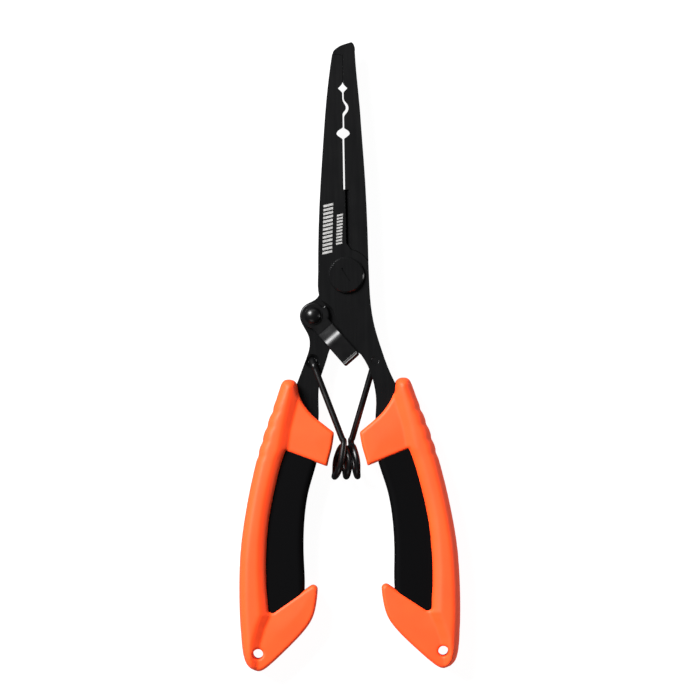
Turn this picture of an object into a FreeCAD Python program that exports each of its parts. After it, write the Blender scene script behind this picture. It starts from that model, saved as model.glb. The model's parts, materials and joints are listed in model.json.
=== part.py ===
"""Flat-nosed fishing pliers: two lapped steel halves on one pivot, a swinging latch,
a wire return spring and two-colour C-shaped grips.

Millimetres. The origin is on the pivot axis, in the flat back face of the pivot nut,
which is also the plane the closed pliers lie on. +Y points to the jaw tip, +Z is the
side with the screw head, +X is the side of the back half's jaw.
"""
import FreeCAD, Part
import math
import os

Vector = FreeCAD.Vector

# ---- driving dimensions -------------------------------------------------------------

PLATE = 3.2                 # thickness of each steel half where they lap
LAP_GAP = 0.10              # running gap between the two lapped faces
NUT_HEIGHT = 2.7
SPRING_WASHER = 0.6
Z_BACK = NUT_HEIGHT + SPRING_WASHER
Z_LAP = Z_BACK + PLATE
Z_LAP_BACK = Z_LAP - LAP_GAP / 2
Z_LAP_FRONT = Z_LAP + LAP_GAP / 2
Z_FRONT = Z_LAP + PLATE
TIP_THICKNESS = 4.0         # both jaws taper in thickness towards the tip
TAPER_START_Y = 22.0
THROUGH = (Z_BACK - 1, Z_FRONT + 1)        # heights that pass right through the steel
TIP_Y = 74.3

JAW_GAP = 0.10              # the closed jaws stand this far apart above the notches
SEAM_STEP = 0.20            # the back layer's seam is this far aside, so no light shows
SEAM_X = JAW_GAP / 2
JAW_END_Y = 70.2
SLOT_X = (-0.40, 0.10)
SLOT_Y = (27.3, 44.5)
THROAT_X = (-0.25, 0.17)                   # the gap from the slot up to the small notch
SMALL_NOTCH = (-0.08, 59.75, 1.47, 2.2)    # centre x, centre y, half width, half height
SMALL_NOTCH_SIDE = ((0.0, 1.0), (0.23, 0.6), (0.61, 0.32), (1.0, 0.0), (0.61, -0.32),
                    (0.23, -0.6), (0.0, -1.0))     # fractions of the half sizes
LARGE_NOTCH = (-0.2, 45.3, 2.06, 2.2)
LARGE_NOTCH_SIDE = ((0.0, 1.0), (0.28, 0.75), (0.75, 0.47), (1.0, 0.1), (1.0, -0.15),
                    (0.75, -0.42), (0.3, -0.72), (0.0, -1.0))
BUMP = ((-0.25, 51.6), (0.05, 52.2), (0.6, 52.9), (0.81, 53.6), (0.46, 54.5),
        (-0.02, 55.4), (-0.25, 56.4))
HOLLOW = ((0.17, 50.2), (0.5, 51.1), (1.33, 52.15), (1.67, 53.4), (1.28, 54.8),
          (0.46, 55.8), (0.17, 56.8))

CUTTER_Y = (9.2, 26.6)      # the line cutter: the two halves pass each other like shears
CUTTER_OVERLAP = 1.0
CUTTER_BEVEL = 1.5

LAP_RADIUS = 8.85           # round end of the back half inside the front half's step
STEP_RADIUS = 9.0
FRONT_LAP_RADIUS = 8.2
FRONT_STEP_RADIUS = 8.35

PIVOT_BORE = 3.55
PIVOT_SHOULDER = 3.5
PIVOT_THREAD = 3.0
HEAD_RADIUS = 5.75
HEAD_HEIGHT = 1.25
HEAD_GAP = 0.05
HEAD_CHAMFER = 0.45
HEAD_SLOT = (5.0, 0.5, 0.35, -58.0)        # length, width, depth, direction in degrees
NUT_RADIUS = 6.0
NUT_FLOOR = 0.6
NUT_CHAMFER = 0.4
SPANNER_HOLE = (0.65, 3.9, 1.2)            # radius, distance from the axis, depth
THRUST_WASHER = (3.6, 6.6, 0.35)           # inner radius, outer radius, thickness

LATCH_PIVOT = (-10.85, -12.77)
LATCH_ANGLE = -49.5
LATCH_SHEET = 1.4
LATCH_WIDTH = 6.0
LATCH_HUB = 4.0
LATCH_CAM = 5.2
LATCH_CAM_ANGLES = (-8.0, 36.0)
LATCH_HUB_Z = Z_LAP_BACK + 0.22
LATCH_ARM_Z = Z_FRONT + 0.25
LATCH_RAMP = (6.15, 9.7)
LATCH_LENGTH = 18.3
LATCH_LIP = (0.9, 1.9)                     # run and rise of the thumb lip
LATCH_BEND = 0.9            # inner radius of the bends in the strip
RIVET_SHANK = 1.5
RIVET_DOME = 2.75
RIVET_RING = 2.95
RIVET_HEIGHT = (0.3, 1.55)                 # of the ring and of the dome

WIRE = 1.0                  # radius of the return spring's wire
WIRE_CLEARANCE = 0.25
COIL_AXIS = (-59.6, Z_LAP)                 # y and z
COIL_SIZE = (4.9, 4.2)                     # half its height along y and along z
COIL_LEAD = 1.0             # the wire enters and leaves this far outside the coil
COIL_X = (-3.5, -4.85, -4.7, -2.1, -0.7, -1.1, -0.35, 0.3, 1.8, 2.5, 2.45)
SPRING_HOLES = ((-11.3, -27.4), (8.75, -27.5))
HOLE_CHAMFER = 1.1          # where the wire bends into its hole
NECK_LEFT = (-1.95, -53.6, 11.4)           # where each leg bends into the coil
NECK_RIGHT = (0.60, -53.6, 1.6)

GRIP_CENTRE_X = -0.65       # the handles mirror each other about this line
GRIP_THICKNESS = 2 * Z_LAP
GRIP_PAD = 1.7              # the lug and hook pads lie this far below the spine's ridge
GRIP_FLANK = 2.6            # width of the slope from the ridge down to the pads
GRIP_EDGE = 1.2
GRIP_FREE_EDGE = 100.0      # only the free edge round the whole cover is this long
CORE_Z = (2.5, GRIP_THICKNESS - 2.5)
LANYARD_HOLE = (29.6, -120.6, 1.65)        # distance from the centre line, y, radius


# ---- small helpers ------------------------------------------------------------------

def point(x, y, z=0.0):
    return Vector(x, y, z)


def line(*points):
    """Straight edges from point to point."""
    return [Part.LineSegment(point(*a), point(*b)).toShape()
            for a, b in zip(points, points[1:])]


def curve(*points):
    """One smooth edge through the points."""
    spline = Part.BSplineCurve()
    spline.interpolate([point(*p) for p in points])
    return [spline.toShape()]


def turn(radius, start, end, centre=(0.0, 0.0)):
    """A circular edge between two directions, in degrees."""
    middle = (start + end) / 2
    ends = [(centre[0] + radius * math.cos(math.radians(a)),
             centre[1] + radius * math.sin(math.radians(a))) for a in (start, middle, end)]
    return [Part.Arc(*[point(*p) for p in ends]).toShape()]


def plate(edges, low, high):
    """A closed outline made into a plate between two heights."""
    face = Part.Face(Part.Wire(Part.__sortEdges__(edges)))
    solid = face.extrude(point(0, 0, high - low))
    solid.translate(point(0, 0, low))
    return solid


def disc(radius, low, high, x=0.0, y=0.0):
    return Part.makeCylinder(radius, high - low, point(x, y, low))


def box(low, high):
    return Part.makeBox(high[0] - low[0], high[1] - low[1], high[2] - low[2], point(*low))


def on_circle(radius, x):
    """The upper point of a circle about the pivot at a given x."""
    return (x, math.sqrt(radius ** 2 - x ** 2))


def direction(at):
    return math.degrees(math.atan2(at[1], at[0]))


def one_solid(shape):
    """The single solid of a boolean result."""
    solids = shape.removeSplitter().Solids
    if len(solids) != 1:
        raise ValueError(f"{len(solids)} solids where one was expected")
    return solids[0]


def level_edges(solid, low, high):
    """The edges that lie flat between two heights."""
    return [e for e in solid.Edges
            if e.BoundBox.ZLength < 0.01 and low < e.BoundBox.ZMin < high]


# ---- outlines of the steel ----------------------------------------------------------

LEFT_EDGE = [on_circle(STEP_RADIUS, x=-8.97), (-8.7, 11.4), (-8.06, 24.1), (-6.82, 40.1),
             (-5.36, 56.1), (-4.1, 65.7), (-3.3, 70.6)]
RIGHT_EDGE = [on_circle(FRONT_STEP_RADIUS, x=7.2), (7.1, 12.7), (6.87, 22.3), (6.42, 33.5),
              (5.85, 43.1), (5.22, 54.3), (4.55, 62.3), (4.0, 71.6)]
TIP = [RIGHT_EDGE[-1], (3.6, 73.75), (3.1, 74.27), (2.03, 74.1), (0.58, 73.7),
       (-0.87, 73.12), (-2.1, 72.33), (-2.91, 71.5)]
TOOTH = [TIP[-1], (-3.15, 70.7), (SEAM_X, JAW_END_Y + JAW_GAP)]
TOOTH_BACK = [TIP[-1], (-3.21, 70.5), (SEAM_X - SEAM_STEP, JAW_END_Y + JAW_GAP - SEAM_STEP)]


def mirrored(points, side):
    """Handle points, given from the centre line, for the right (1) or left (-1) side."""
    return [(GRIP_CENTRE_X + side * h, y) for h, y in points]


def tongue(side):
    """The tang's hidden end inside the grip: outer side, round end, inner side."""
    outer = mirrored([(17.6, -39.0), (21.0, -50.0), (23.6, -64.0), (24.6, -80.0),
                      (24.4, -94.0), (23.6, -101.0)], side)
    end = mirrored([(23.6, -101.0), (21.0, -103.5), (18.6, -101.0)], side)
    inner = mirrored([(18.6, -101.0), (18.4, -92.0), (17.8, -78.0), (15.4, -65.0),
                      (12.0, -55.0), (9.3, -48.0)], side)
    return outer, end, inner


def front_outline():
    """The front half seen from the screw side: left jaw, pivot, right tang."""
    outer, end, inner = tongue(1)
    blade = 0.12
    corner = on_circle(FRONT_LAP_RADIUS, x=1.7)
    shoulder = on_circle(FRONT_LAP_RADIUS, x=7.17)
    edges = line(LEFT_EDGE[-1], (-SEAM_X, JAW_END_Y), (-SEAM_X, SLOT_Y[0]),
                 (blade, SLOT_Y[0] - 0.4), (blade, 10.2), corner)
    edges += turn(FRONT_LAP_RADIUS, direction(corner), direction(shoulder))
    edges += curve(shoulder, (7.27, -0.1), (7.74, -10.05), (8.6, -15.8), (10.71, -23.5),
                   (13.4, -31.2), *outer)
    edges += turn_through(*end)
    edges += curve(*inner, (8.88, -40.8), (8.6, -37.0), (7.8, -33.1), (6.4, -29.2),
                   (4.3, -25.6))
    edges += curve((4.3, -25.6), (2.5, -24.1), (0.5, -22.2), (-1.15, -19.6),
                   (-1.75, -17.3), (-3.1, -14.1), (-4.42, -10.96))
    edges += curve((-4.42, -10.96), (-6.0, -9.3), (-8.2, -7.9))
    edges += curve((-8.2, -7.9), (-8.75, -6.5), (-9.12, -3.4), LEFT_EDGE[0])
    edges += curve(*LEFT_EDGE)
    return edges


def turn_through(a, b, c):
    return [Part.Arc(point(*a), point(*b), point(*c)).toShape()]


def back_outline():
    """The back half below the lap: right jaw, pivot, latch lobe, left tang."""
    outer, end, inner = tongue(-1)
    lap_start = on_circle(LAP_RADIUS, x=-CUTTER_OVERLAP)
    lap_end = (-7.9, -math.sqrt(LAP_RADIUS ** 2 - 7.9 ** 2))
    edges = curve(*RIGHT_EDGE) + curve(*TIP)
    edges += line(*TOOTH_BACK, (SEAM_X - SEAM_STEP, SLOT_Y[0]), (-0.5, SLOT_Y[0]),
                  (-CUTTER_OVERLAP, CUTTER_Y[1]), lap_start)
    edges += turn(LAP_RADIUS, direction(lap_start), direction(lap_end) + 360.0)
    edges += line(lap_end, (-8.8, -6.2))
    edges += curve((-8.8, -6.2), (-10.0, -7.65), (-13.6, -9.65), (-15.05, -12.9),
                   (-13.9, -16.35), (-12.3, -19.6), (-12.1, -22.5), (-13.44, -27.0),
                   (-15.85, -33.2), *outer)
    edges += turn_through(*end)
    edges += curve(*inner, (-9.58, -40.5), (-9.04, -33.8), (-6.81, -27.1), (-5.43, -23.3),
                   (-4.0, -21.6), (-2.2, -20.6), (-0.3, -20.0))
    edges += curve((-0.3, -20.0), (1.0, -18.2), (2.3, -15.2), (3.9, -11.4), (6.3, -7.2),
                   (6.98, -3.5), (7.1, 0.5), RIGHT_EDGE[0])
    return edges


def right_jaw_outline():
    """The right jaw's front layer, above the lap."""
    corner = on_circle(FRONT_STEP_RADIUS, x=1.9)
    edges = curve(*RIGHT_EDGE) + curve(*TIP)
    edges += line(*TOOTH, (SEAM_X, SLOT_Y[0]), (0.32, SLOT_Y[0] - 0.4), (0.32, 10.3),
                  corner)
    edges += turn(FRONT_STEP_RADIUS, direction(corner), direction(RIGHT_EDGE[0]))
    return edges


def left_jaw_outline():
    """The left jaw's back layer, behind the lap."""
    relief = CUTTER_OVERLAP + 0.3
    seam = -SEAM_X - SEAM_STEP
    start = on_circle(STEP_RADIUS, x=-relief)
    edges = line(LEFT_EDGE[-1], (seam, JAW_END_Y), (seam, SLOT_Y[0] + 0.3),
                 (-relief, CUTTER_Y[1] + 0.3), start)
    edges += turn(STEP_RADIUS, direction(start), direction(LEFT_EDGE[0]))
    edges += curve(*LEFT_EDGE)
    return edges


# ---- cuts in the jaws ---------------------------------------------------------------

def taper_envelope():
    """Everything inside the jaws' side view, which thins towards the tip."""
    loss = (2 * PLATE - TIP_THICKNESS) / 2
    deep = 150.0
    side = [(-deep, -1.0), (TAPER_START_Y, -1.0), (TAPER_START_Y, Z_BACK),
            (TIP_Y + 1, Z_BACK + loss), (TIP_Y + 1, Z_FRONT - loss),
            (TAPER_START_Y, Z_FRONT), (TAPER_START_Y, deep), (-deep, deep)]
    wire = Part.makePolygon([point(-deep, y, z) for y, z in side + side[:1]])
    return Part.Face(wire).extrude(point(2 * deep, 0, 0))


def notch(size, side):
    """A crimping notch, the same on both sides of the seam."""
    x, y, half_width, half_height = size
    edges = []
    for hand in (1, -1):
        edges += curve(*[(x + hand * half_width * across, y + half_height * up)
                         for across, up in side])
    return plate(edges, *THROUGH)


def jaw_notches():
    """The crimp notches, the slot and the throat, cut through both jaws."""
    low, high = THROUGH
    slot = box((SLOT_X[0], SLOT_Y[0], low), (SLOT_X[1], SLOT_Y[1], high))
    throat = box((THROAT_X[0], SLOT_Y[1], low), (THROAT_X[1], SMALL_NOTCH[1], high))
    return [notch(SMALL_NOTCH, SMALL_NOTCH_SIDE), notch(LARGE_NOTCH, LARGE_NOTCH_SIDE),
            slot, throat]


def wave(crest, low, high):
    """The wave in the throat: a smooth bump towards the right, rooted to the left."""
    root = -1.0
    (start, bottom), (end, top) = crest[0], crest[-1]
    edges = curve(*crest) + line((end, top), (root, top), (root, bottom), (start, bottom))
    return plate(edges, low, high)


def jaw_end_step():
    """What the left jaw's back layer gives up for the tooth's back layer."""
    (left, high), low = LEFT_EDGE[-1], JAW_END_Y
    high -= SEAM_STEP
    low -= SEAM_STEP
    edges = line((left, high), (0.0, low), (0.0, TIP_Y), (left - 1.0, TIP_Y),
                 (left - 1.0, high), (left, high))
    return plate(edges, Z_BACK - 1, Z_LAP_FRONT)


def cutter_bevel():
    """The sloping recess beside the line cutter's edge."""
    start, end = CUTTER_Y
    section = [(0.0, Z_LAP + 0.9), (CUTTER_BEVEL, Z_FRONT), (CUTTER_BEVEL, Z_FRONT + 1),
               (-1.0, Z_FRONT + 1), (-1.0, Z_LAP + 0.9)]
    wire = Part.makePolygon([point(x, start - 1.0, z) for x, z in section + section[:1]])
    return Part.Face(wire).extrude(point(0, end - start + 1.6, 0))


def spring_hole(hole, face, inward):
    """A hole for the spring's hook, chamfered at the lapped face it enters by."""
    radius = WIRE + WIRE_CLEARANCE
    mouth = Part.makeCone(radius + HOLE_CHAMFER, radius, HOLE_CHAMFER, point(*hole, face),
                          point(0, 0, inward))
    return mouth.fuse(disc(radius, Z_BACK, Z_FRONT, *hole))


# ---- steel halves -------------------------------------------------------------------

def front_half():
    solid = plate(front_outline(), Z_LAP_FRONT, Z_FRONT)
    solid = solid.fuse(plate(left_jaw_outline(), Z_BACK, Z_LAP_FRONT))
    for cut in jaw_notches() + [jaw_end_step()]:
        solid = solid.cut(cut)
    solid = solid.fuse(wave(BUMP, Z_BACK, Z_FRONT))
    solid = solid.common(taper_envelope())
    solid = solid.cut(disc(PIVOT_BORE, Z_BACK, Z_FRONT))
    solid = solid.cut(spring_hole(SPRING_HOLES[1], Z_LAP_FRONT, 1))
    return one_solid(solid)


def back_half():
    solid = plate(back_outline(), Z_BACK, Z_LAP_BACK)
    solid = solid.fuse(plate(right_jaw_outline(), Z_LAP_BACK, Z_FRONT))
    solid = solid.common(taper_envelope())
    for cut in jaw_notches() + [wave(HOLLOW, *THROUGH), cutter_bevel()]:
        solid = solid.cut(cut)
    inner, outer, thickness = THRUST_WASHER
    seat = Z_LAP_FRONT - 0.03 - thickness
    solid = solid.cut(disc(outer + 0.05, seat, Z_LAP_BACK))
    solid = solid.cut(disc(PIVOT_THREAD, Z_BACK, Z_LAP_BACK))
    solid = solid.cut(disc(RIVET_SHANK, Z_BACK, Z_LAP_BACK, *LATCH_PIVOT))
    solid = solid.cut(spring_hole(SPRING_HOLES[0], Z_LAP_BACK, -1))
    return one_solid(solid)


# ---- pivot --------------------------------------------------------------------------

def pivot_screw():
    underside = Z_FRONT + HEAD_GAP
    top = underside + HEAD_HEIGHT
    head = disc(HEAD_RADIUS, underside, top)
    head = head.makeChamfer(HEAD_CHAMFER, level_edges(head, top - 0.01, top + 0.01))
    length, width, depth, heading = HEAD_SLOT
    slot = box((-length / 2, -width / 2, top - depth), (length / 2, width / 2, top + 1))
    slot.rotate(point(0, 0), point(0, 0, 1), heading)
    shoulder = disc(PIVOT_SHOULDER, Z_LAP_BACK, underside)
    thread = disc(PIVOT_THREAD, NUT_FLOOR, Z_LAP_BACK)
    return one_solid(head.fuse(shoulder).fuse(thread).cut(slot))


def pivot_nut():
    radius, reach, depth = SPANNER_HOLE
    nut = disc(NUT_RADIUS, 0, NUT_HEIGHT)
    nut = nut.makeChamfer(NUT_CHAMFER, level_edges(nut, -0.01, 0.01))
    nut = nut.cut(disc(PIVOT_THREAD, NUT_FLOOR, NUT_HEIGHT))
    for side in (-1, 1):
        nut = nut.cut(disc(radius, 0, depth, side * reach, 0))
    return one_solid(nut)


def ring(inner, outer, low, high, x=0.0, y=0.0):
    return one_solid(disc(outer, low, high, x, y).cut(disc(inner, low, high, x, y)))


def spring_washer():
    """A split lock washer, flattened under the tightened nut."""
    washer = ring(PIVOT_THREAD + 0.1, 5.2, NUT_HEIGHT, Z_BACK)
    return one_solid(washer.cut(box((2.0, -0.3, NUT_HEIGHT), (6.0, 0.3, Z_BACK))))


def thrust_washer():
    inner, outer, thickness = THRUST_WASHER
    high = Z_LAP_FRONT - 0.03
    return ring(inner, outer, high - thickness, high)


# ---- latch --------------------------------------------------------------------------

def latch_strip():
    """The bent strip along +X from its rivet: hub, ramp, raised arm and thumb lip."""
    ramp_start, ramp_end = LATCH_RAMP
    run, rise = LATCH_LIP
    low = [(0.0, LATCH_HUB_Z), (ramp_start, LATCH_HUB_Z), (ramp_end, LATCH_ARM_Z),
           (LATCH_LENGTH, LATCH_ARM_Z), (LATCH_LENGTH + run, LATCH_ARM_Z + rise)]
    slope = math.atan2(LATCH_ARM_Z - LATCH_HUB_Z, ramp_end - ramp_start)
    lip = math.atan2(rise, run)
    bend = LATCH_SHEET * math.tan(slope / 2)
    lip_bend = LATCH_SHEET * math.tan(lip / 2)
    high = [(0.0, LATCH_HUB_Z + LATCH_SHEET),
            (ramp_start - bend, LATCH_HUB_Z + LATCH_SHEET),
            (ramp_end - bend, LATCH_ARM_Z + LATCH_SHEET),
            (LATCH_LENGTH - lip_bend, LATCH_ARM_Z + LATCH_SHEET),
            (LATCH_LENGTH + run - LATCH_SHEET * math.sin(lip),
             LATCH_ARM_Z + rise + LATCH_SHEET * math.cos(lip))]
    section = low + high[::-1]
    half = LATCH_WIDTH / 2
    wire = Part.makePolygon([point(s, -half, z) for s, z in section + section[:1]])
    strip = Part.Face(wire).extrude(point(0, LATCH_WIDTH, 0))
    outside = LATCH_BEND + LATCH_SHEET
    for radius, corner in ((outside, low[1]), (LATCH_BEND, high[1]), (LATCH_BEND, low[2]),
                           (outside, high[2]), (outside, low[3]), (LATCH_BEND, high[3])):
        at = point(corner[0], 0, corner[1])
        edge = min(strip.Edges, key=lambda e: e.CenterOfMass.distanceToPoint(at))
        strip = strip.makeFillet(radius, [edge])
    return strip


def latch_lever():
    """The strip with its round hub and cam, turned into place."""
    hub = disc(LATCH_HUB, LATCH_HUB_Z, LATCH_HUB_Z + LATCH_SHEET)
    start, end = [a - LATCH_ANGLE for a in LATCH_CAM_ANGLES]
    cam = Part.makeCylinder(LATCH_CAM, LATCH_SHEET, point(0, 0, LATCH_HUB_Z),
                            point(0, 0, 1), end - start)
    cam.rotate(point(0, 0), point(0, 0, 1), start)
    lever = latch_strip().fuse(hub).fuse(cam)
    lever = lever.cut(disc(RIVET_SHANK + 0.05, 0, Z_FRONT))
    lever.rotate(point(0, 0), point(0, 0, 1), LATCH_ANGLE)
    lever.translate(point(*LATCH_PIVOT))
    return one_solid(lever)


def latch_rivet():
    """Domed head on a ring, shank, and a low head peened over at the back."""
    x, y = LATCH_PIVOT
    seat = LATCH_HUB_Z + LATCH_SHEET + 0.04
    ring_height, dome_height = RIVET_HEIGHT
    sphere = (RIVET_DOME ** 2 + dome_height ** 2) / (2 * dome_height)
    base = seat + ring_height
    dome = Part.makeSphere(sphere, point(x, y, base + dome_height - sphere))
    dome = dome.common(disc(RIVET_DOME, base, base + dome_height + 0.1, x, y))
    flange = disc(RIVET_RING, seat, base, x, y)
    shank = disc(RIVET_SHANK, Z_BACK, seat, x, y)
    tail = Part.makeCone(1.8, 2.4, 0.9, point(x, y, Z_BACK - 0.9))
    return one_solid(dome.fuse(flange).fuse(shank).fuse(tail))


def latch_washer():
    return ring(RIVET_SHANK, 3.1, Z_LAP_BACK, LATCH_HUB_Z - 0.03, *LATCH_PIVOT)


# ---- return spring ------------------------------------------------------------------

def coil_points():
    """The fanned coil every eighth of a turn, from its front round to its back."""
    (y, z), (half_height, half_depth) = COIL_AXIS, COIL_SIZE
    last = len(COIL_X) - 1
    points = []
    for eighth in range(2 * last + 1):
        x = (COIL_X[eighth // 2] + COIL_X[(eighth + 1) // 2]) / 2
        lead = COIL_LEAD * max(0.0, 1 - eighth / 2, eighth / 2 - last + 1)
        turned = math.radians(90 + 45 * eighth)
        points.append((x, y + half_height * math.cos(turned),
                       z + (half_depth + lead) * math.sin(turned)))
    return points


def between(a, b, steps=7):
    """Evenly spaced points on a straight leg."""
    return [tuple(u + (v - u) * i / steps for u, v in zip(a, b)) for i in range(steps + 1)]


def spring_path():
    """Points along the wire, from the left hook to the right hook."""
    (left_x, left_y), (right_x, right_y) = SPRING_HOLES
    lift = WIRE + 0.3       # the legs stand this far off the lapped faces
    front = Z_LAP_BACK + lift
    behind = Z_LAP_FRONT - lift
    left_leg = between((left_x + 0.45, left_y - 1.3, front), NECK_LEFT)
    right_leg = between(NECK_RIGHT, (right_x - 0.45, right_y - 1.3, behind))
    left = [(left_x, left_y, Z_BACK + 0.4), (left_x, left_y, Z_LAP_BACK - 0.6)]
    right = [(right_x, right_y, Z_LAP_FRONT + 0.6), (right_x, right_y, Z_FRONT - 0.2)]
    return left + left_leg + coil_points() + right_leg + right


def return_spring():
    """The wire, swept along the smooth path one piece after another."""
    points = [point(*p) for p in spring_path()]
    whole = Part.BSplineCurve()
    whole.interpolate(points)
    knots = whole.getKnots()
    pieces = [whole.toShape(a, b) for a, b in zip(knots, knots[1:])]
    section = Part.Wire([Part.Circle(points[0], point(0, 0, 1), WIRE).toShape()])
    return one_solid(Part.Wire(pieces).makePipeShell([section], True, False))


# ---- grips --------------------------------------------------------------------------

WINDOW_EDGE = [(25.75, -104.0), (25.95, -100.8), (26.1, -94.4), (25.8, -86.0),
               (25.0, -78.4), (23.8, -72.0), (22.3, -65.6), (20.4, -59.0), (19.3, -56.1)]
FLANK_FOOT = [(12.0, -25.0), (14.2, -34.0), (16.05, -41.6), (17.6, -49.0), (18.8, -56.1),
              (21.8, -65.6), (23.3, -72.0), (24.5, -78.4), (25.3, -86.0), (25.6, -94.4),
              (25.4, -100.8), (25.3, -104.5), (25.9, -108.5), (27.2, -112.2),
              (28.6, -116.6), (29.3, -121.0), (29.0, -129.0)]


def cover_outside(side):
    """The orange cover's free edge: over the lug, down the spine and round the hook."""
    free = [(0.5, -53.0), (4.1, -50.4), (7.8, -47.4), (10.8, -44.8), (13.1, -42.0),
            (14.7, -39.2), (15.3, -37.0), (15.5, -35.4), (16.1, -34.0), (17.1, -33.3),
            (18.5, -33.1), (19.75, -33.4), (20.5, -34.15), (21.05, -35.4), (22.4, -39.3),
            (25.4, -47.2), (28.5, -56.8), (31.15, -67.2), (33.3, -78.0), (34.75, -88.5),
            (35.25, -97.8), (35.3, -107.0), (34.8, -117.2), (34.1, -122.0), (32.4, -125.1),
            (29.4, -126.1), (26.2, -124.4), (20.2, -119.0), (15.0, -113.7),
            (12.0, -109.3), (10.7, -104.6), (10.25, -100.8), (10.5, -96.0)]
    return (curve(*mirrored(free, side))
            + line(*mirrored([free[-1], (0.5, -60.0), free[0]], side)))


def cover_window(side):
    """The cut-out of the cover on its finger side, between the lug and the hook."""
    def at(*points):
        return mirrored(points, side)
    corner = (24.4, -107.3)
    edges = curve(*at((3.3, -45.5), (4.1, -50.4), (4.95, -55.5), (6.0, -59.2), (6.4, -61.1)))
    edges += line(*at((6.4, -61.1), WINDOW_EDGE[-1]))
    edges += curve(*at((25.6, -106.2), *WINDOW_EDGE))
    edges += turn_through(*at(corner, (25.35, -107.1), (25.6, -106.2)))
    edges += line(*at((12.6, -99.35), corner))
    edges += curve(*at((12.6, -99.35), (11.4, -99.0), (10.5, -99.6), (9.9, -101.2)))
    edges += line(*at((9.9, -101.2), (-3.0, -101.2), (-3.0, -45.5), (3.3, -45.5)))
    return edges


def core_outline(side):
    """The black insert that fills the finger side between lug and hook."""
    def at(*points):
        return mirrored(points, side)
    edges = curve(*at((9.2, -57.0), (10.6, -62.4), (12.55, -68.8), (13.5, -73.5),
                      (14.3, -81.0), (14.5, -90.0), (14.3, -97.6), (14.7, -103.5)))
    edges += line(*at((14.7, -103.5), (24.0, -110.5), (28.4, -107.0)))
    edges += curve(*at((28.4, -107.0), (29.1, -96.0), (28.6, -84.0), (26.8, -71.0),
                       (23.6, -59.0), (20.0, -50.0)))
    edges += line(*at((20.0, -50.0), (13.0, -50.0), (9.2, -57.0)))
    return edges


def flank_cut(side, face, inward):
    """What is missing over the lug and the hook, up to the sloping flank of the spine."""
    past = 1.0
    height = face + inward * GRIP_PAD
    spread = GRIP_FLANK * (GRIP_PAD + past) / GRIP_PAD
    foot = mirrored(FLANK_FOOT, side)
    far = GRIP_CENTRE_X - side * spread
    (_, top), (_, bottom) = foot[0], foot[-1]
    edges = curve(*foot) + line(foot[-1], (far, bottom), (far, top), foot[0])
    outline = Part.Face(Part.Wire(Part.__sortEdges__(edges)))
    outline.translate(point(0, 0, height))
    return outline.extrude(point(side * spread, 0, -inward * (GRIP_PAD + past)))


def grip_cover(side, steel):
    cover = plate(cover_outside(side), 0.0, GRIP_THICKNESS)
    free_edges = [e for e in level_edges(cover, -1.0, GRIP_THICKNESS + 1.0)
                  if e.Length > GRIP_FREE_EDGE]
    cover = cover.makeFillet(GRIP_EDGE, free_edges)
    cover = cover.cut(plate(cover_window(side), -1.0, GRIP_THICKNESS + 1.0))
    cover = cover.cut(flank_cut(side, 0.0, 1)).cut(flank_cut(side, GRIP_THICKNESS, -1))
    cover = cover.cut(plate(core_outline(side), *CORE_Z)).cut(steel)
    h, y, radius = LANYARD_HOLE
    x = GRIP_CENTRE_X + side * h
    cover = cover.cut(disc(radius, -1.0, GRIP_THICKNESS + 1.0, x, y))
    return one_solid(cover)


def grip_core(side, steel):
    return one_solid(plate(core_outline(side), *CORE_Z).cut(steel))


# ---- build --------------------------------------------------------------------------

def main():
    os.makedirs("parts", exist_ok=True)
    front = front_half()
    back = back_half()
    nodes = {
        "front_half": front,
        "back_half": back,
        "pivot_screw": pivot_screw(),
        "pivot_nut": pivot_nut(),
        "spring_washer": spring_washer(),
        "thrust_washer": thrust_washer(),
        "latch_lever": latch_lever(),
        "latch_rivet": latch_rivet(),
        "latch_washer": latch_washer(),
        "return_spring": return_spring(),
        "left_grip": grip_cover(-1, back),
        "right_grip": grip_cover(1, front),
        "left_core": grip_core(-1, back),
        "right_core": grip_core(1, front),
    }
    for name, shape in nodes.items():
        print(name, shape.ShapeType, "valid" if shape.isValid() else "BROKEN",
              "solids", len(shape.Solids), "volume", round(shape.Volume, 1))
        shape.exportStep(f"parts/{name}.step")


main()
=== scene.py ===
"""Looks of the fishing pliers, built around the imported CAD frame. Metres."""
import json
import math

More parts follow.
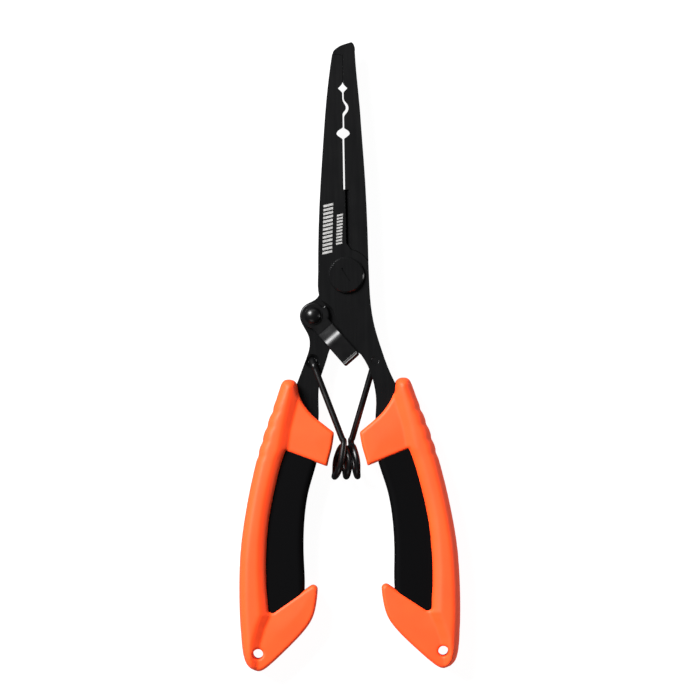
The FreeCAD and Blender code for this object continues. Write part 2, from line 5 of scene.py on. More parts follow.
import bpy
import numpy as np
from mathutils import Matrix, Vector


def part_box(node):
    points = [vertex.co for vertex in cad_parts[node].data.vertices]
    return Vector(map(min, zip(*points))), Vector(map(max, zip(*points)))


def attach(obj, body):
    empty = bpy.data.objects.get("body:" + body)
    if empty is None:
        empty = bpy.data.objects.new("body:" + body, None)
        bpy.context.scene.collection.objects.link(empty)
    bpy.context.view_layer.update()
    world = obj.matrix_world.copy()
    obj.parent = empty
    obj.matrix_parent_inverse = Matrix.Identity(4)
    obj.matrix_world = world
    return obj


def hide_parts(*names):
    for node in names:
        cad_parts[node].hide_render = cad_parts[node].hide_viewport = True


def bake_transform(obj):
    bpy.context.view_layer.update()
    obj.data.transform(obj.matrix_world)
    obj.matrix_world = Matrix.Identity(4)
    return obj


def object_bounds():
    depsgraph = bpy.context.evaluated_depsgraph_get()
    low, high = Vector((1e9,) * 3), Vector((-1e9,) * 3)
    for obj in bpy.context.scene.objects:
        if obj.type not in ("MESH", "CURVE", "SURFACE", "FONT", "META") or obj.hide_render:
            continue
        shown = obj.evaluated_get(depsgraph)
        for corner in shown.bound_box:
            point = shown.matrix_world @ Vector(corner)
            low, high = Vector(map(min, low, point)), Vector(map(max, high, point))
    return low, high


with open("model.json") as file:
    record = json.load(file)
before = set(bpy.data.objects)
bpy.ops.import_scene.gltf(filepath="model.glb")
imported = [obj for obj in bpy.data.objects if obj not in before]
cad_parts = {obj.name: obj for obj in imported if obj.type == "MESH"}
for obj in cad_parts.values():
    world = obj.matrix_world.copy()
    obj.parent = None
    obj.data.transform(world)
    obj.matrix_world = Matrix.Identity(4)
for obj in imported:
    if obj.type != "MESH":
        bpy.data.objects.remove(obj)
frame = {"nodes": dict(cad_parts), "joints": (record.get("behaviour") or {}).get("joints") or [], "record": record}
cad_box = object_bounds()

MM = 0.001
nodes = frame["nodes"]
joints = {joint["name"]: joint for joint in frame["joints"]}
mounts = {mount["name"]: mount for mount in frame["record"]["mounts"]}

LOWEST_Z = cad_box[0][2]
LEFT_GRIP_LOW, LEFT_GRIP_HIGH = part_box("left_grip")
RIGHT_GRIP_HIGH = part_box("right_grip")[1]
GRIP_CENTRE_X = (LEFT_GRIP_LOW.x + RIGHT_GRIP_HIGH.x) / 2
MID_Z = (LEFT_GRIP_LOW.z + LEFT_GRIP_HIGH.z) / 2
GRIP_HALF = (LEFT_GRIP_HIGH.z - LEFT_GRIP_LOW.z) / 2
JAW_TOP_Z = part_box("front_half")[1].z
LATCH_AXIS = np.array(joints["latch_swing"]["pos_m"][:2])
LANYARD_HOLES = {side: np.array(mounts[name]["pos_m"][:2])
                 for side, name in ((-1, "left_lanyard_hole"), (1, "right_lanyard_hole"))}
HOLE_RADIUS = mounts["left_lanyard_hole"]["dims"]["r_mm"] * MM


# ---- camera, floor and light --------------------------------------------------------

CAMERA_HEIGHT = 1.5
VIEW_WIDTH = 0.224                  # at the pliers' middle height
VIEW_CENTRE = (0.00080, -0.02402)
VIEW_TURN = math.radians(-1.0)      # the pliers lie one degree off upright
SENSOR_WIDTH = 36.0
FLOOR_HALF = 1.6
FLOOR_GAP = 0.05 * MM
FLOOR_GREY = 0.1
FLOOR_GLOW = 0.97
WORLD_STRENGTH = 0.06
LIGHT_AIM = (0, -0.03, 0)
LIGHTS = (                          # name, place, size, power in watts
    ("key_upper_left", (-0.65, 0.55, 0.77), (0.5, 0.5), 42.0),
    ("back_top", (0.0, 1.0, 0.55), (0.7, 0.3), 1.5),
    ("fill_right", (1.2, -0.1, 0.12), (0.2, 0.5), 3.8),
    ("front_low", (-0.3, -1.0, 0.5), (0.5, 0.3), 1.5))


def add_camera():
    """Straight down on the pliers with a long lens."""
    data = bpy.data.cameras.new("camera")
    data.sensor_width = SENSOR_WIDTH
    data.lens = SENSOR_WIDTH * (CAMERA_HEIGHT - MID_Z) / VIEW_WIDTH
    camera = bpy.data.objects.new("camera", data)
    camera.location = (*VIEW_CENTRE, CAMERA_HEIGHT)
    camera.rotation_euler = (0.0, 0.0, VIEW_TURN)
    bpy.context.scene.collection.objects.link(camera)
    bpy.context.scene.camera = camera


def add_floor():
    """A plain white sheet under the pliers, which glossy surfaces don't mirror."""
    half = FLOOR_HALF
    mesh = bpy.data.meshes.new("floor")
    mesh.from_pydata([(-half, -half, 0), (half, -half, 0), (half, half, 0), (-half, half, 0)],
                     [], [(0, 1, 2, 3)])
    floor = bpy.data.objects.new("floor", mesh)
    floor.location.z = LOWEST_Z - FLOOR_GAP
    floor.visible_glossy = False
    bpy.context.scene.collection.objects.link(floor)
    material = bpy.data.materials.new("floor_white")
    material.use_nodes = True
    shader = material.node_tree.nodes["Principled BSDF"]
    shader.inputs["Base Color"].default_value = (FLOOR_GREY, FLOOR_GREY, FLOOR_GREY, 1)
    shader.inputs["Roughness"].default_value = 1.0
    shader.inputs["Specular IOR Level"].default_value = 0.0
    shader.inputs["Emission Color"].default_value = (1, 1, 1, 1)
    shader.inputs["Emission Strength"].default_value = FLOOR_GLOW
    mesh.materials.append(material)


def add_area(name, location, size, power):
    """A soft rectangular light that faces the pliers."""
    data = bpy.data.lights.new(name, "AREA")
    data.shape = "RECTANGLE"
    data.size, data.size_y = size
    data.energy = power
    light = bpy.data.objects.new(name, data)
    light.location = location
    direction = np.array(LIGHT_AIM) - np.array(location)
    light.rotation_euler = Vector(direction).to_track_quat("-Z", "Y").to_euler()
    bpy.context.scene.collection.objects.link(light)


def add_lights():
    """A dim white surround and four area lights."""
    scene = bpy.context.scene
    scene.view_settings.view_transform = "Standard"
    world = bpy.data.worlds.new("studio")
    scene.world = world
    world.use_nodes = True
    background = world.node_tree.nodes["Background"]
    background.inputs["Color"].default_value = (1, 1, 1, 1)
    background.inputs["Strength"].default_value = WORLD_STRENGTH
    for light in LIGHTS:
        add_area(*light)


# ---- materials ----------------------------------------------------------------------

def new_material(name, colour, roughness, metallic=0.0, specular=0.5):
    material = bpy.data.materials.new(name)
    material.use_nodes = True
    shader = material.node_tree.nodes["Principled BSDF"]
    shader.inputs["Base Color"].default_value = (*colour, 1)
    shader.inputs["Roughness"].default_value = roughness
    shader.inputs["Metallic"].default_value = metallic
    shader.inputs["Specular IOR Level"].default_value = specular
    return material


def noise(material, scale, stretch=(1, 1, 1)):
    """A noise texture fixed to the object's own metres."""
    tree = material.node_tree
    place = tree.nodes.new("ShaderNodeTexCoord")
    mapping = tree.nodes.new("ShaderNodeMapping")
    mapping.inputs["Scale"].default_value = stretch
    texture = tree.nodes.new("ShaderNodeTexNoise")
    texture.inputs["Scale"].default_value = scale
    texture.inputs["Detail"].default_value = 3.0
    tree.links.new(place.outputs["Object"], mapping.inputs["Vector"])
    tree.links.new(mapping.outputs["Vector"], texture.inputs["Vector"])
    return texture.outputs["Fac"]


def link(material, output, socket):
    tree = material.node_tree
    tree.links.new(output, tree.nodes["Principled BSDF"].inputs[socket])


def colour_from(material, value, low, high):
    """Base colour that runs between two (value, colour) stops."""
    tree = material.node_tree
    node = tree.nodes.new("ShaderNodeValToRGB")
    for element, (position, colour) in zip(node.color_ramp.elements, (low, high)):
        element.position = position
        element.color = (*colour, 1)
    tree.links.new(value, node.inputs["Fac"])
    link(material, node.outputs["Color"], "Base Color")


def roughness_from(material, value, smoothest, roughest):
    """Roughness that follows a noise, whose values lie mostly between 0.3 and 0.7."""
    tree = material.node_tree
    node = tree.nodes.new("ShaderNodeMapRange")
    for name, number in (("From Min", 0.3), ("From Max", 0.7), ("To Min", smoothest),
                         ("To Max", roughest)):
        node.inputs[name].default_value = number
    tree.links.new(value, node.inputs["Value"])
    link(material, node.outputs["Result"], "Roughness")


def bump(material, height, strength, distance, bevel=0.0):
    """Bump on the shader's normal, over edges that catch light as if slightly rounded."""
    tree = material.node_tree
    node = tree.nodes.new("ShaderNodeBump")
    node.inputs["Strength"].default_value = strength
    node.inputs["Distance"].default_value = distance
    tree.links.new(height, node.inputs["Height"])
    if bevel:
        rounding = tree.nodes.new("ShaderNodeBevel")
        rounding.samples = 4
        rounding.inputs["Radius"].default_value = bevel
        tree.links.new(rounding.outputs["Normal"], node.inputs["Normal"])
    link(material, node.outputs["Normal"], "Normal")


def black_steel_material():
    """Satin black coating on steel, with faint lengthwise grinding under it."""
    material = new_material("black_steel", (0.003, 0.003, 0.0033), 0.26, specular=0.28)
    cloud = noise(material, 180.0)
    colour_from(material, cloud, (0.3, (0.0026, 0.0027, 0.0029)), (0.7, (0.0034, 0.0034, 0.0036)))
    grain = noise(material, 900.0, stretch=(1.0, 0.06, 1.0))
    roughness_from(material, grain, 0.24, 0.29)
    bump(material, grain, 0.04, 0.02 * MM, bevel=0.06 * MM)
    return material


def gloss_black_material():
    """Glossy black plating on the lever, rivet and spring wire."""
    material = new_material("gloss_black", (0.002, 0.002, 0.0022), 0.3, specular=0.3)
    smudge = noise(material, 260.0)
    roughness_from(material, smudge, 0.28, 0.36)
    bump(material, smudge, 0.05, 0.02 * MM)
    return material


def washer_material():
    """Plain steel, turned and lightly worn."""
    material = new_material("bright_steel", (0.55, 0.55, 0.56), 0.3, metallic=1.0)
    roughness_from(material, noise(material, 1500.0), 0.24, 0.36)
    return material


def orange_material():
    """Soft-touch orange rubber with a fine moulded grain."""
    material = new_material("orange_grip", (1.0, 0.064, 0.004), 0.6, specular=0.4)
    cloud = noise(material, 90.0)
    colour_from(material, cloud, (0.3, (0.98, 0.060, 0.0035)), (0.7, (1.0, 0.069, 0.0045)))
    grain = noise(material, 2600.0)
    roughness_from(material, grain, 0.56, 0.68)
    bump(material, grain, 0.12, 0.02 * MM)
    return material


def core_material():
    """Matt black moulded insert."""
    material = new_material("black_core", (0.0014, 0.0014, 0.0016), 0.5, specular=0.03)
    grain = noise(material, 2200.0)
    roughness_from(material, grain, 0.55, 0.7)
    bump(material, grain, 0.15, 0.03 * MM)
    return material


def mark_material():
    """Pale grey laser marking."""
    material = new_material("laser_mark", (0.25, 0.25, 0.24), 0.5)
    cloud = noise(material, 2500.0)
    colour_from(material, cloud, (0.35, (0.19, 0.19, 0.185)), (0.65, (0.31, 0.305, 0.30)))
    return material


def set_material(obj, material):
    obj.data.materials.clear()
    obj.data.materials.append(material)


# ---- mesh tools ---------------------------------------------------------------------

GRID_MARGIN = (2.3, 2.6)        # cells of grid before and after a shape
RELAX_SHARE = 0.5
RELAX_RETURN = 0.515            # each second round moves back a little further, against shrinking


def new_object(name, vertices, faces):
    mesh = bpy.data.meshes.new(name)
    mesh.from_pydata([tuple(map(float, v)) for v in vertices], [],
                     [tuple(map(int, f)) for f in faces])
    mesh.validate()
    mesh.shade_smooth()
    obj = bpy.data.objects.new(name, mesh)
    bpy.context.scene.collection.objects.link(obj)
    return obj


def outline_segments(node, z):
    """The edges of a CAD node's cross-section at a height: an array of (start, end)."""
    mesh = nodes[node].data
    mesh.calc_loop_triangles()
    places = np.array([vertex.co for vertex in mesh.vertices], float)
    triangles = places[np.array([triangle.vertices for triangle in mesh.loop_triangles])]
    heights = triangles[:, :, 2]
    segments = []
    for triangle in triangles[(heights.min(1) < z) & (heights.max(1) > z)]:
        cuts = []
        for start, end in zip(triangle, np.roll(triangle, -1, axis=0)):
            above_start = start[2] - z
            above_end = end[2] - z
            if above_start * above_end < 0:
                run = end[:2] - start[:2]
                cuts.append(start[:2] + run * above_start / (above_start - above_end))
        if len(cuts) == 2:
            segments.append(cuts)
    return np.array(segments)


def inside_distance(segments, x, y):
    """Distance to a closed outline at each grid point, positive inside it."""
    best = np.full(x.shape, 1e9)
    crossings = np.zeros(x.shape, int)
    for (ax, ay), (bx, by) in segments:
        dx, dy = bx - ax, by - ay
        squared = max(dx * dx + dy * dy, 1e-18)
        t = np.clip(((x - ax) * dx + (y - ay) * dy) / squared, 0, 1)
        best = np.minimum(best, (x - ax - t * dx) ** 2 + (y - ay - t * dy) ** 2)
        if ay != by:
            crossings += ((ay > y) != (by > y)) & (x < (bx - ax) * (y - ay) / (by - ay) + ax)
    return np.sqrt(best) * np.where(crossings % 2 == 1, 1, -1)


def edge_crossings(field, cells):
    """For each grid cell, the sum and number of the points where its edges cross zero."""
    total = np.zeros(cells + (3,))
    count = np.zeros(cells)
    for axis in range(3):
        others = [other for other in range(3) if other != axis]
        for shifts in ((0, 0), (0, 1), (1, 0), (1, 1)):
            near = [0, 0, 0]
            near[others[0]], near[others[1]] = shifts
            far = list(near)
            far[axis] += 1
            low = field[tuple(slice(c, c + n) for c, n in zip(near, cells))]
            high = field[tuple(slice(c, c + n) for c, n in zip(far, cells))]
            crossed = (low > 0) != (high > 0)
            share = np.where(crossed, low / np.where(crossed, low - high, 1.0), 0)
            for k in range(3):
                along = share if k == axis else 0
                total[..., k] += np.where(crossed, near[k] + along, 0)
            count += crossed
    return total, count


def crossing_quads(field, index, axis):
    """A quad round each grid edge along one axis that crosses zero, facing outward."""
    u, v = [other for other in range(3) if other != axis]
    size = field.shape
    low = [slice(None)] * 3
    high = [slice(None)] * 3
    low[axis] = slice(0, size[axis] - 1)
    high[axis] = slice(1, size[axis])
    inside_low = field[tuple(low)] > 0
    inside_high = field[tuple(high)] > 0
    flips = np.argwhere(inside_low != inside_high)
    keep = (flips[:, u] > 0) & (flips[:, v] > 0)
    keep &= (flips[:, u] < size[u] - 1) & (flips[:, v] < size[v] - 1)
    flips = flips[keep]
    outward = inside_low[tuple(flips.T)]
    if axis == 1:
        outward = ~outward
    corners = []
    for shift_u, shift_v in ((-1, -1), (0, -1), (0, 0), (-1, 0)):
        cell = flips.copy()
        cell[:, u] += shift_u
        cell[:, v] += shift_v
        corners.append(index[tuple(cell.T)])
    quads = np.stack(corners, 1)
    quads[~outward] = quads[~outward][:, ::-1]
    return quads


def surface_nets(field, origin, step):
    """A quad mesh of the surface where a sampled field is zero; inside is positive."""
    cells = tuple(n - 1 for n in field.shape)
    total, count = edge_crossings(field, cells)
    active = count > 0
    index = np.full(cells, -1)
    index[active] = np.arange(active.sum())
    mean = total[active] / count[active][:, None]
    points = (np.argwhere(active) + mean) * step + np.array(origin)
    faces = np.concatenate([crossing_quads(field, index, axis) for axis in range(3)])
    return points, faces


def relax(points, faces, rounds):
    """Even out a dense quad mesh, shrinking it hardly at all."""
    edges = np.concatenate([faces[:, [side, (side + 1) % 4]] for side in range(4)])
    for share in (RELAX_SHARE, -RELAX_RETURN) * rounds:
        total = np.zeros_like(points)
        count = np.zeros(len(points))
        np.add.at(total, edges[:, 0], points[edges[:, 1]])
        np.add.at(count, edges[:, 0], 1)
        points = points + share * (total / count[:, None] - points)
    return points


def sampled(low, high, step):
    """Grid lines that cover a range with two cells to spare."""
    return np.arange(low - GRID_MARGIN[0] * step, high + GRID_MARGIN[1] * step, step)


def smooth_step(value, low, high):
    """0 below low, 1 above high, and a smooth rise between them."""
    t = np.clip((value - low) / (high - low), 0, 1)
    return t * t * (3 - 2 * t)


def smooth_min(a, b, radius):
    """The smaller of two values, rounded where they meet."""
    h = np.clip(0.5 + 0.5 * (b - a) / radius, 0, 1)
    return b + (a - b) * h - radius * h * (1 - h)


def rounded_rim(distance, radius, half):
    """Half thickness near an edge that is rounded over a radius."""
    inset = np.clip(radius - distance, 0, radius)
    return half - radius + np.sqrt(np.maximum(radius ** 2 - inset ** 2, 0))


# ---- grips --------------------------------------------------------------------------

GRIP_STEP = 0.42 * MM
SECTION_HEIGHT = 2.1 * MM       # above the back of a cover: below its pocket, over its pad
# where a cover's flank meets its flat finger side: mm out from the grips' middle, and y in mm
FOOT_LINE = [(14.2, -34.0), (16.05, -41.6), (17.9, -49.0), (19.3, -56.1), (20.4, -59.0),
             (22.3, -65.6), (23.8, -72.0), (25.0, -78.4), (25.8, -86.0), (26.1, -94.4),
             (25.95, -100.8), (25.75, -104.0), (25.6, -108.3), (27.2, -112.2),
             (28.6, -116.6), (29.6, -121.0), (30.6, -129.0)]
FOOT_FADE = 0.25 * MM
CREST_FROM_EDGE = 3.2 * MM      # the spine's dome is at its full height this far in
CREST_POWER = 2.3               # 2 is an ellipse; more is squarer
SPINE_BLEND = 0.6 * MM
FLANK_SLOPE = 0.65
PAD_HALF = 4.6 * MM             # the lug and the hook
PAD_BEVEL = 0.9 * MM
PAD_BEVEL_SLOPE = 1.3
PAD_BEVEL_LIFT = 0.1 * MM       # keeps the pad near its full height where the bevel blends in
PAD_BLEND = 0.3 * MM
PAD_CROWN = 0.25 * MM
PAD_CROWN_REACH = 7 * MM
WINDOW_HALF = 4.5 * MM          # the flank's foot beside the black insert
WINDOW_Y = (-108.5 * MM, -58.0 * MM)
WINDOW_FADE = 2 * MM
SCALLOPS_Y = (-57.6 * MM, -38.5 * MM)
SCALLOP_PITCH = 4.75 * MM
SCALLOP_DEPTH = 0.30 * MM
SCALLOP_FADE = 3 * MM
SCALLOP_START = 1 * MM
SCALLOP_FROM_FOOT = (2.5 * MM, 4.5 * MM)
HOLE_EDGE = 0.35 * MM
HOLE_REACH = 1.3                # outline edges within this many hole radii are the hole's own
STEEPEST = 6
CORE_HALF = 3.9 * MM
CORE_EDGE = 1.8 * MM
CORE_SECTION_HEIGHT = 0.4 * MM
CORE_UNDER_COVER = 1.0 * MM


def spine_side(side, x, y):
    """How far each point lies outward of the flank's foot, in metres."""
    foot_x = np.interp(-y, [-p[1] * MM for p in FOOT_LINE], [p[0] * MM for p in FOOT_LINE])
    from_centre = side * (x - GRIP_CENTRE_X)
    lean = np.gradient(foot_x, axis=1) / np.gradient(y, axis=1)
    return (from_centre - foot_x) / np.sqrt(1 + lean ** 2)


def scallop_cut(y, outward):
    """How deep the row of shallow scallops cuts into a cover's outer edge."""
    wave = 0.5 + 0.5 * np.cos(2 * math.pi * (y - SCALLOPS_Y[0]) / SCALLOP_PITCH)
    fade = smooth_step(y, SCALLOPS_Y[0] - SCALLOP_FADE, SCALLOPS_Y[0] + SCALLOP_START)
    fade *= 1 - smooth_step(y, SCALLOPS_Y[1] - SCALLOP_FADE, SCALLOPS_Y[1])
    near_edge = smooth_step(outward, *SCALLOP_FROM_FOOT)
    return SCALLOP_DEPTH * wave ** 2 * fade * near_edge


def cover_half_thickness(outward, y, rim):
    """Half thickness of a grip cover: a domed spine over flatter lug and hook pads."""
    reach = np.clip(rim / CREST_FROM_EDGE, 0, 1)
    dome = GRIP_HALF * (1 - (1 - reach) ** CREST_POWER) ** (1 / CREST_POWER)
    window = smooth_step(y, WINDOW_Y[0] - WINDOW_FADE, WINDOW_Y[0] + WINDOW_FADE)
    window *= 1 - smooth_step(y, WINDOW_Y[1] - WINDOW_FADE, WINDOW_Y[1] + WINDOW_FADE)
    foot = PAD_HALF + (WINDOW_HALF - PAD_HALF) * window
    flank = foot + FLANK_SLOPE * np.maximum(outward, 0)
    spine = smooth_min(dome, flank, SPINE_BLEND)
    crown = PAD_CROWN * (smooth_step(rim, 0, PAD_CROWN_REACH) - 1)
    bevel = PAD_HALF - PAD_BEVEL_SLOPE * np.maximum(PAD_BEVEL - rim, 0)
    pad = smooth_min(PAD_HALF + crown, bevel + PAD_BEVEL_LIFT, PAD_BLEND)
    on_spine = smooth_step(outward, -FOOT_FADE, FOOT_FADE)
    return pad + (spine - pad) * on_spine


def grip_grid(node, half):
    """Grid lines along X, Y and Z round a grip's node, and X and Y over the whole grid."""
    low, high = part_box(node)
    xs = sampled(low.x, high.x, GRIP_STEP)
    ys = sampled(low.y, high.y, GRIP_STEP)
    zs = sampled(MID_Z - half, MID_Z + half, GRIP_STEP)
    x, y = np.meshgrid(xs, ys, indexing="ij")
    return xs, ys, zs, x, y


def grip_cover(name, node, side, body, material):
    """A grip cover sculpted as a solid over the CAD cover's own outline."""
    xs, ys, zs, x, y = grip_grid(node, GRIP_HALF)
    hole = LANYARD_HOLES[side]
    segments = outline_segments(node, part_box(node)[0].z + SECTION_HEIGHT)
    from_hole = np.linalg.norm(segments.mean(1) - hole, axis=1)
    rim = inside_distance(segments[from_hole > HOLE_RADIUS * HOLE_REACH], x, y)
    hole_rim = np.hypot(x - hole[0], y - hole[1]) - HOLE_RADIUS
    outward = spine_side(side, x, y)
    rim = rim - scallop_cut(y, outward)
    half = cover_half_thickness(outward, y, rim) - np.maximum(HOLE_EDGE - hole_rim, 0)
    slope_x, slope_y = np.gradient(half, GRIP_STEP)
    steepness = np.minimum(np.sqrt(1 + slope_x ** 2 + slope_y ** 2), STEEPEST)
    depth = (half[..., None] - np.abs(zs - MID_Z)) / steepness[..., None]
    field = np.minimum(depth, np.minimum(rim, hole_rim)[..., None])
    points, faces = surface_nets(field, (xs[0], ys[0], zs[0]), GRIP_STEP)
    obj = new_object(name, relax(points, faces, 3), faces)
    set_material(obj, material)
    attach(obj, body)
    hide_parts(node)


def grip_core(name, node, cover, body, material):
    """The black insert: a flat-sided panel with a rounded finger edge."""
    xs, ys, zs, x, y = grip_grid(node, CORE_HALF)
    section = outline_segments(node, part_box(node)[0].z + CORE_SECTION_HEIGHT)
    cover_section = outline_segments(cover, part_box(cover)[0].z + SECTION_HEIGHT)
    rim = inside_distance(section, x, y)
    edge = np.minimum(rim, CORE_UNDER_COVER - inside_distance(cover_section, x, y))
    half = rounded_rim(rim, CORE_EDGE, CORE_HALF)
    field = np.minimum(half[..., None] - np.abs(zs - MID_Z), edge[..., None])
    points, faces = surface_nets(field, (xs[0], ys[0], zs[0]), GRIP_STEP)
    obj = new_object(name, relax(points, faces, 2), faces)
    set_material(obj, material)
    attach(obj, body)
    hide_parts(node)


# ---- latch lever --------------------------------------------------------------------

LEVER_STEP = 0.14 * MM
LEVER_SHEET = 1.4 * MM
LEVER_WIDTH = 6.0 * MM
LEVER_CORNER = 0.7 * MM
LEVER_RIM = 0.3 * MM
LEVER_HUB = 4.0 * MM
LEVER_BORE = 1.55 * MM
LEVER_HEADING = math.radians(-49.5)
LEVER_CAM = 5.2 * MM
LEVER_CAM_HEADING = math.radians(14.0)
LEVER_CAM_SPREAD = math.radians(24.0)
HUB_BLEND = 0.5 * MM
CAM_BLEND = 0.6 * MM
LEVER_LOW_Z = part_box("latch_lever")[0].z
LEVER_RUN = [(0.0, 0.0), (6.2, 0.0), (9.75, 3.28), (17.9, 3.28), (18.95, 4.1)]    # side view, mm
LEVER_BEND_RADII = (0.6, 3.8, 0.8)
BEND_STEPS = 12
SLOPE_REACH = 0.05 * MM


def turned(vector, angle):
    """A vector in a plane, turned by an angle."""
    c, s = math.cos(angle), math.sin(angle)
    return np.array([vector[0] * c - vector[1] * s, vector[0] * s + vector[1] * c])


def bent_path(corners, radii):
    """A sheet's middle line: straight runs joined by arcs."""
    corners = [np.array(corner, float) for corner in corners]
    points = [corners[0]]
    for before, corner, after, radius in zip(corners, corners[1:], corners[2:], radii):
        back = (before - corner) / np.linalg.norm(before - corner)
        onward = (after - corner) / np.linalg.norm(after - corner)
        half = math.acos(np.clip(back @ onward, -1, 1)) / 2
        middle = (back + onward) / np.linalg.norm(back + onward)
        centre = corner + middle * radius / math.sin(half)
        start = corner + back * radius / math.tan(half) - centre
        end = corner + onward * radius / math.tan(half) - centre
        sign = 1 if start[0] * end[1] - start[1] * end[0] > 0 else -1
        sweep = sign * (math.pi - 2 * half)
        for step in range(BEND_STEPS + 1):
            points.append(centre + turned(start, sweep * step / BEND_STEPS))
    points.append(corners[-1])
    return np.array(points)


def lever_blank(s, t, length):
    """Distance inside the flat blank's edge: a strip with its hub, cam and bore."""
    radius = np.hypot(s, t)
    past_end = np.abs(s - length / 2) - length / 2 + LEVER_CORNER
    past_side = np.abs(t) - LEVER_WIDTH / 2 + LEVER_CORNER
    strip = LEVER_CORNER - np.hypot(np.maximum(past_end, 0), np.maximum(past_side, 0))
    strip = strip - np.minimum(np.maximum(past_end, past_side), 0)
    from_cam = np.abs(np.arctan2(t, s) - (LEVER_CAM_HEADING - LEVER_HEADING))
    cam = np.minimum(LEVER_CAM - radius, (LEVER_CAM_SPREAD - from_cam) * np.maximum(radius, 1e-6))
    blank = -smooth_min(radius - LEVER_HUB, -strip, HUB_BLEND)
    blank = -smooth_min(-blank, -cam, CAM_BLEND)
    return np.minimum(blank, radius - LEVER_BORE)


def bent_to_shape(points, path, lengths):
    """The flat blank's points, bent along the lever's side view and set in place."""
    s, t, n = points.T
    along = np.clip(s, 0, lengths[-1])
    ahead, behind = [[np.interp(along + reach, lengths, path[:, k]) for k in (0, 1)]
                     for reach in (SLOPE_REACH, -SLOPE_REACH)]
    slope = np.arctan2(ahead[1] - behind[1], ahead[0] - behind[0])
    slope[s <= SLOPE_REACH] = 0
    run = np.interp(along, lengths, path[:, 0]) + np.minimum(s, 0) - n * np.sin(slope)
    rise = np.interp(along, lengths, path[:, 1]) + n * np.cos(slope)
    x, y = turned((run, t), LEVER_HEADING) + LATCH_AXIS[:, None]
    return np.stack([x, y, rise + LEVER_LOW_Z + LEVER_SHEET / 2], 1)


def latch_lever(material):
    """A sheet-metal blank with hub, cam and rounded rim, bent along the lever's side view."""
    path = bent_path(LEVER_RUN, LEVER_BEND_RADII) * MM
    lengths = np.concatenate([[0], np.cumsum(np.linalg.norm(np.diff(path, axis=0), axis=1))])
    ss = sampled(-LEVER_HUB, lengths[-1], LEVER_STEP)
    ts = sampled(-LEVER_HUB, LEVER_CAM, LEVER_STEP)
    ns = sampled(-LEVER_SHEET / 2, LEVER_SHEET / 2, LEVER_STEP)
    s, t = np.meshgrid(ss, ts, indexing="ij")
    blank = lever_blank(s, t, lengths[-1])
    half = rounded_rim(blank, LEVER_RIM, LEVER_SHEET / 2)
    field = np.minimum(half[..., None] - np.abs(ns), blank[..., None])
    points, faces = surface_nets(field, (ss[0], ts[0], ns[0]), LEVER_STEP)
    points = relax(points, faces, 2)
    obj = new_object("latch_lever_sheet", bent_to_shape(points, path, lengths), faces)
    set_material(obj, material)
    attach(obj, "latch")
    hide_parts("latch_lever")


# ---- return spring ------------------------------------------------------------------

WIRE_RADIUS = 1.0 * MM
PEENED = 1.23                   # the wire's ends are spread to fill their holes
COIL_RADIUS = 4.9               # the route is in mm
COIL_DEPTH = 4.2
COIL_LEAD = 1.0
COIL_Y = -59.6
COIL_X = (-2.65, -4.85, -4.35, -2.0, 0.1, -1.1, -1.7, 0.9, 2.45, 2.5, 1.4)
LEFT_HOOK = [(-11.3, -27.4, 3.7), (-11.3, -27.4, 5.85), (-10.85, -28.7, 7.75)]
NECK_LEFT = (-1.7, -53.6, 11.4)
NECK_RIGHT = (0.60, -53.6, 1.6)
RIGHT_HOOK = [(8.3, -28.8, 5.25), (8.75, -27.5, 7.15), (8.75, -27.5, 9.5)]
LEG_STEPS = 20
SMOOTH_STEPS = 7


def coil_points():
    """The fanned coil every eighth of a turn, from its front round to its back."""
    last = len(COIL_X) - 1
    points = []
    for eighth in range(2 * last + 1):
        x = (COIL_X[eighth // 2] + COIL_X[(eighth + 1) // 2]) / 2
        lead = max(0.0, 1 - eighth / 2, eighth / 2 - last + 1)
        angle = math.radians(90 + 45 * eighth)
        points.append((x, COIL_Y + COIL_RADIUS * math.cos(angle),
                       MID_Z / MM + (COIL_DEPTH + COIL_LEAD * lead) * math.sin(angle)))
    return points


def straight(start, end):
    """Points along a straight leg, without its ends."""
    start, end = np.array(start), np.array(end)
    return [tuple(start + (end - start) * step / LEG_STEPS) for step in range(1, LEG_STEPS)]


def smooth_through(points):
    """A smooth run of points through the given ones, denser and without corners."""
    knots = np.array([points[0]] + points + [points[-1]], float)
    run = []
    for a, b, c, d in zip(knots, knots[1:], knots[2:], knots[3:]):
        for t in np.arange(SMOOTH_STEPS) / SMOOTH_STEPS:
            run.append(0.5 * (2 * b + (c - a) * t + (2 * a - 5 * b + 4 * c - d) * t ** 2
                              + (3 * b - a - 3 * c + d) * t ** 3))
    run.append(knots[-1])
    return run


def wire_curve(name, points):
    """Round wire along the points, a little thicker inside its two holes."""
    curve = bpy.data.curves.new(name, "CURVE")
    curve.dimensions = "3D"
    curve.bevel_depth = WIRE_RADIUS
    curve.bevel_resolution = 7
    curve.use_fill_caps = True
    curve.resolution_u = 2
    spline = curve.splines.new("NURBS")
    spline.points.add(len(points) - 1)
    ends = [np.array(hook[:2]) for hook in (LEFT_HOOK[0], RIGHT_HOOK[-1])]
    for target, point in zip(spline.points, points):
        target.co = (point[0] * MM, point[1] * MM, point[2] * MM, 1)
        from_hole = min(np.linalg.norm(point[:2] - end) for end in ends)
        target.radius = PEENED + (1 - PEENED) * float(smooth_step(from_hole, 0.0, 1.0))
    spline.order_u = 4
    spline.use_endpoint_u = True
    return curve


def wire_piece(name, points, material):
    """A stretch of the wire as a mesh."""
    carrier = bpy.data.objects.new(name + "_carrier", wire_curve(name + "_path", points))
    bpy.context.scene.collection.objects.link(carrier)
    depsgraph = bpy.context.evaluated_depsgraph_get()
    mesh = bpy.data.meshes.new_from_object(carrier.evaluated_get(depsgraph))
    bpy.data.objects.remove(carrier)
    mesh.shade_smooth()
    mesh.set_sharp_from_angle(angle=math.radians(40))
    wire = bpy.data.objects.new(name, mesh)
    bpy.context.scene.collection.objects.link(wire)
    set_material(wire, material)
    return wire


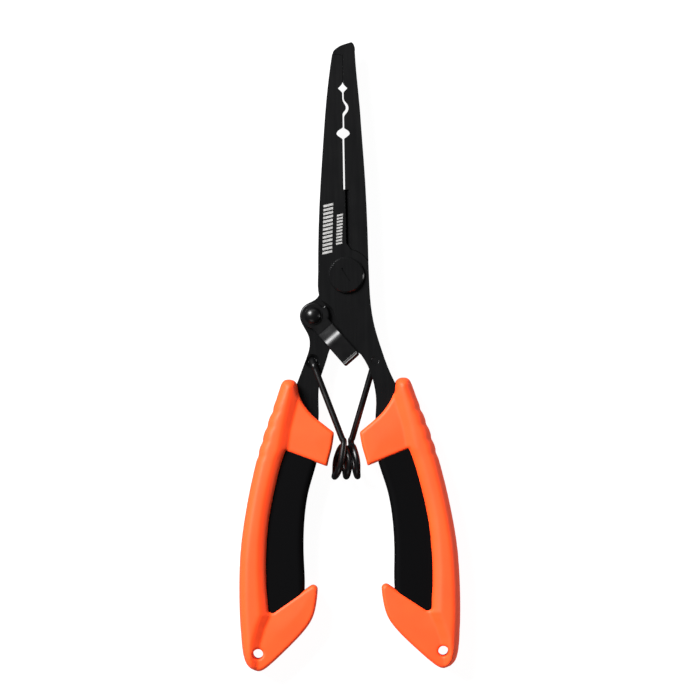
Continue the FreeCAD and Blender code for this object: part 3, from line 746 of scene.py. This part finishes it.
def return_spring(material):
    """One wire in three stretches: two legs and the coil, each baked in place without a parent."""
    left = LEFT_HOOK + straight(LEFT_HOOK[-1], NECK_LEFT) + [NECK_LEFT]
    right = [NECK_RIGHT] + straight(NECK_RIGHT, RIGHT_HOOK[0]) + RIGHT_HOOK
    coil = coil_points()
    run = smooth_through(left + coil + right)
    coil_start = (len(left) - 1) * SMOOTH_STEPS
    coil_end = (len(left) + len(coil)) * SMOOTH_STEPS
    hook_y, neck_y = LEFT_HOOK[0][1] * MM, NECK_LEFT[1] * MM
    leg = ((0, hook_y, 0), (0, 2 * neck_y - hook_y, 0))     # halfway at the neck
    halfway = ((0, 0, -10), (0, 0, 10))                     # so far apart that all is halfway
    for name, points, first, second, (start, end) in (
            ("return_spring_left_leg", run[:coil_start + 1], "back_frame", "front_frame", leg),
            ("return_spring_coil", run[coil_start:coil_end + 1], "back_frame", "front_frame",
             halfway),
            ("return_spring_right_leg", run[coil_end:], "front_frame", "back_frame", leg)):
        wire = wire_piece(name, points, material)
        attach(wire, first)
        wire.parent = None                                  # the piece is left without a parent
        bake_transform(wire)
        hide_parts("return_spring")


# ---- laser mark ---------------------------------------------------------------------

# each bar's left and right edge at its foot, its foot and top, its lean and its pitch, in mm
MARK_BARS = [(-7.47, -4.37, 6.6, 24.0, 0.040, 1.25), (-3.06, -1.17, 9.6, 20.2, 0.050, 1.0)]
MARK_RISE = 0.22                # of a stroke's width, from its left end to its right
MARK_INK = 0.6                  # share of the pitch that is marked
MARK_PROUD = 0.012 * MM
MARK_DEEP = 0.03 * MM


def laser_mark(material):
    """Two plain bars of slanted hatching along the left jaw."""
    vertices, faces = [], []
    top = JAW_TOP_Z + MARK_PROUD
    for foot_left, foot_right, foot, head, lean, pitch in MARK_BARS:
        for stroke in range(int((head - foot) / pitch)):
            y = foot + stroke * pitch
            shift = lean * (y - foot)
            left, right = foot_left + shift, foot_right + shift
            rise, deep = MARK_RISE * (right - left), pitch * MARK_INK
            corners = [(left, y), (right, y + rise), (right, y + rise + deep), (left, y + deep)]
            a, b, c, d, e, f, g, h = range(len(vertices), len(vertices) + 8)
            vertices += [(x * MM, v * MM, top) for x, v in corners]
            vertices += [(x * MM, v * MM, top - MARK_DEEP) for x, v in corners]
            faces += [(a, b, c, d), (h, g, f, e), (a, e, f, b), (b, f, g, c), (c, g, h, d),
                      (d, h, e, a)]
    obj = new_object("jaw_laser_mark", vertices, faces)
    obj.data.shade_flat()
    set_material(obj, material)
    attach(obj, "front_frame")


# ---- build --------------------------------------------------------------------------

def main():
    add_camera()
    add_floor()
    add_lights()
    steel = black_steel_material()
    gloss = gloss_black_material()
    washer = washer_material()
    orange = orange_material()
    black = core_material()
    for node in ("front_half", "back_half", "pivot_screw", "pivot_nut"):
        set_material(nodes[node], steel)
    set_material(nodes["latch_rivet"], gloss)
    for node in ("spring_washer", "thrust_washer", "latch_washer"):
        set_material(nodes[node], washer)
    grip_cover("left_grip_cover", "left_grip", -1, "back_frame", orange)
    grip_cover("right_grip_cover", "right_grip", 1, "front_frame", orange)
    grip_core("left_grip_core", "left_core", "left_grip", "back_frame", black)
    grip_core("right_grip_core", "right_core", "right_grip", "front_frame", black)
    latch_lever(gloss)
    return_spring(gloss)
    laser_mark(mark_material())


main()
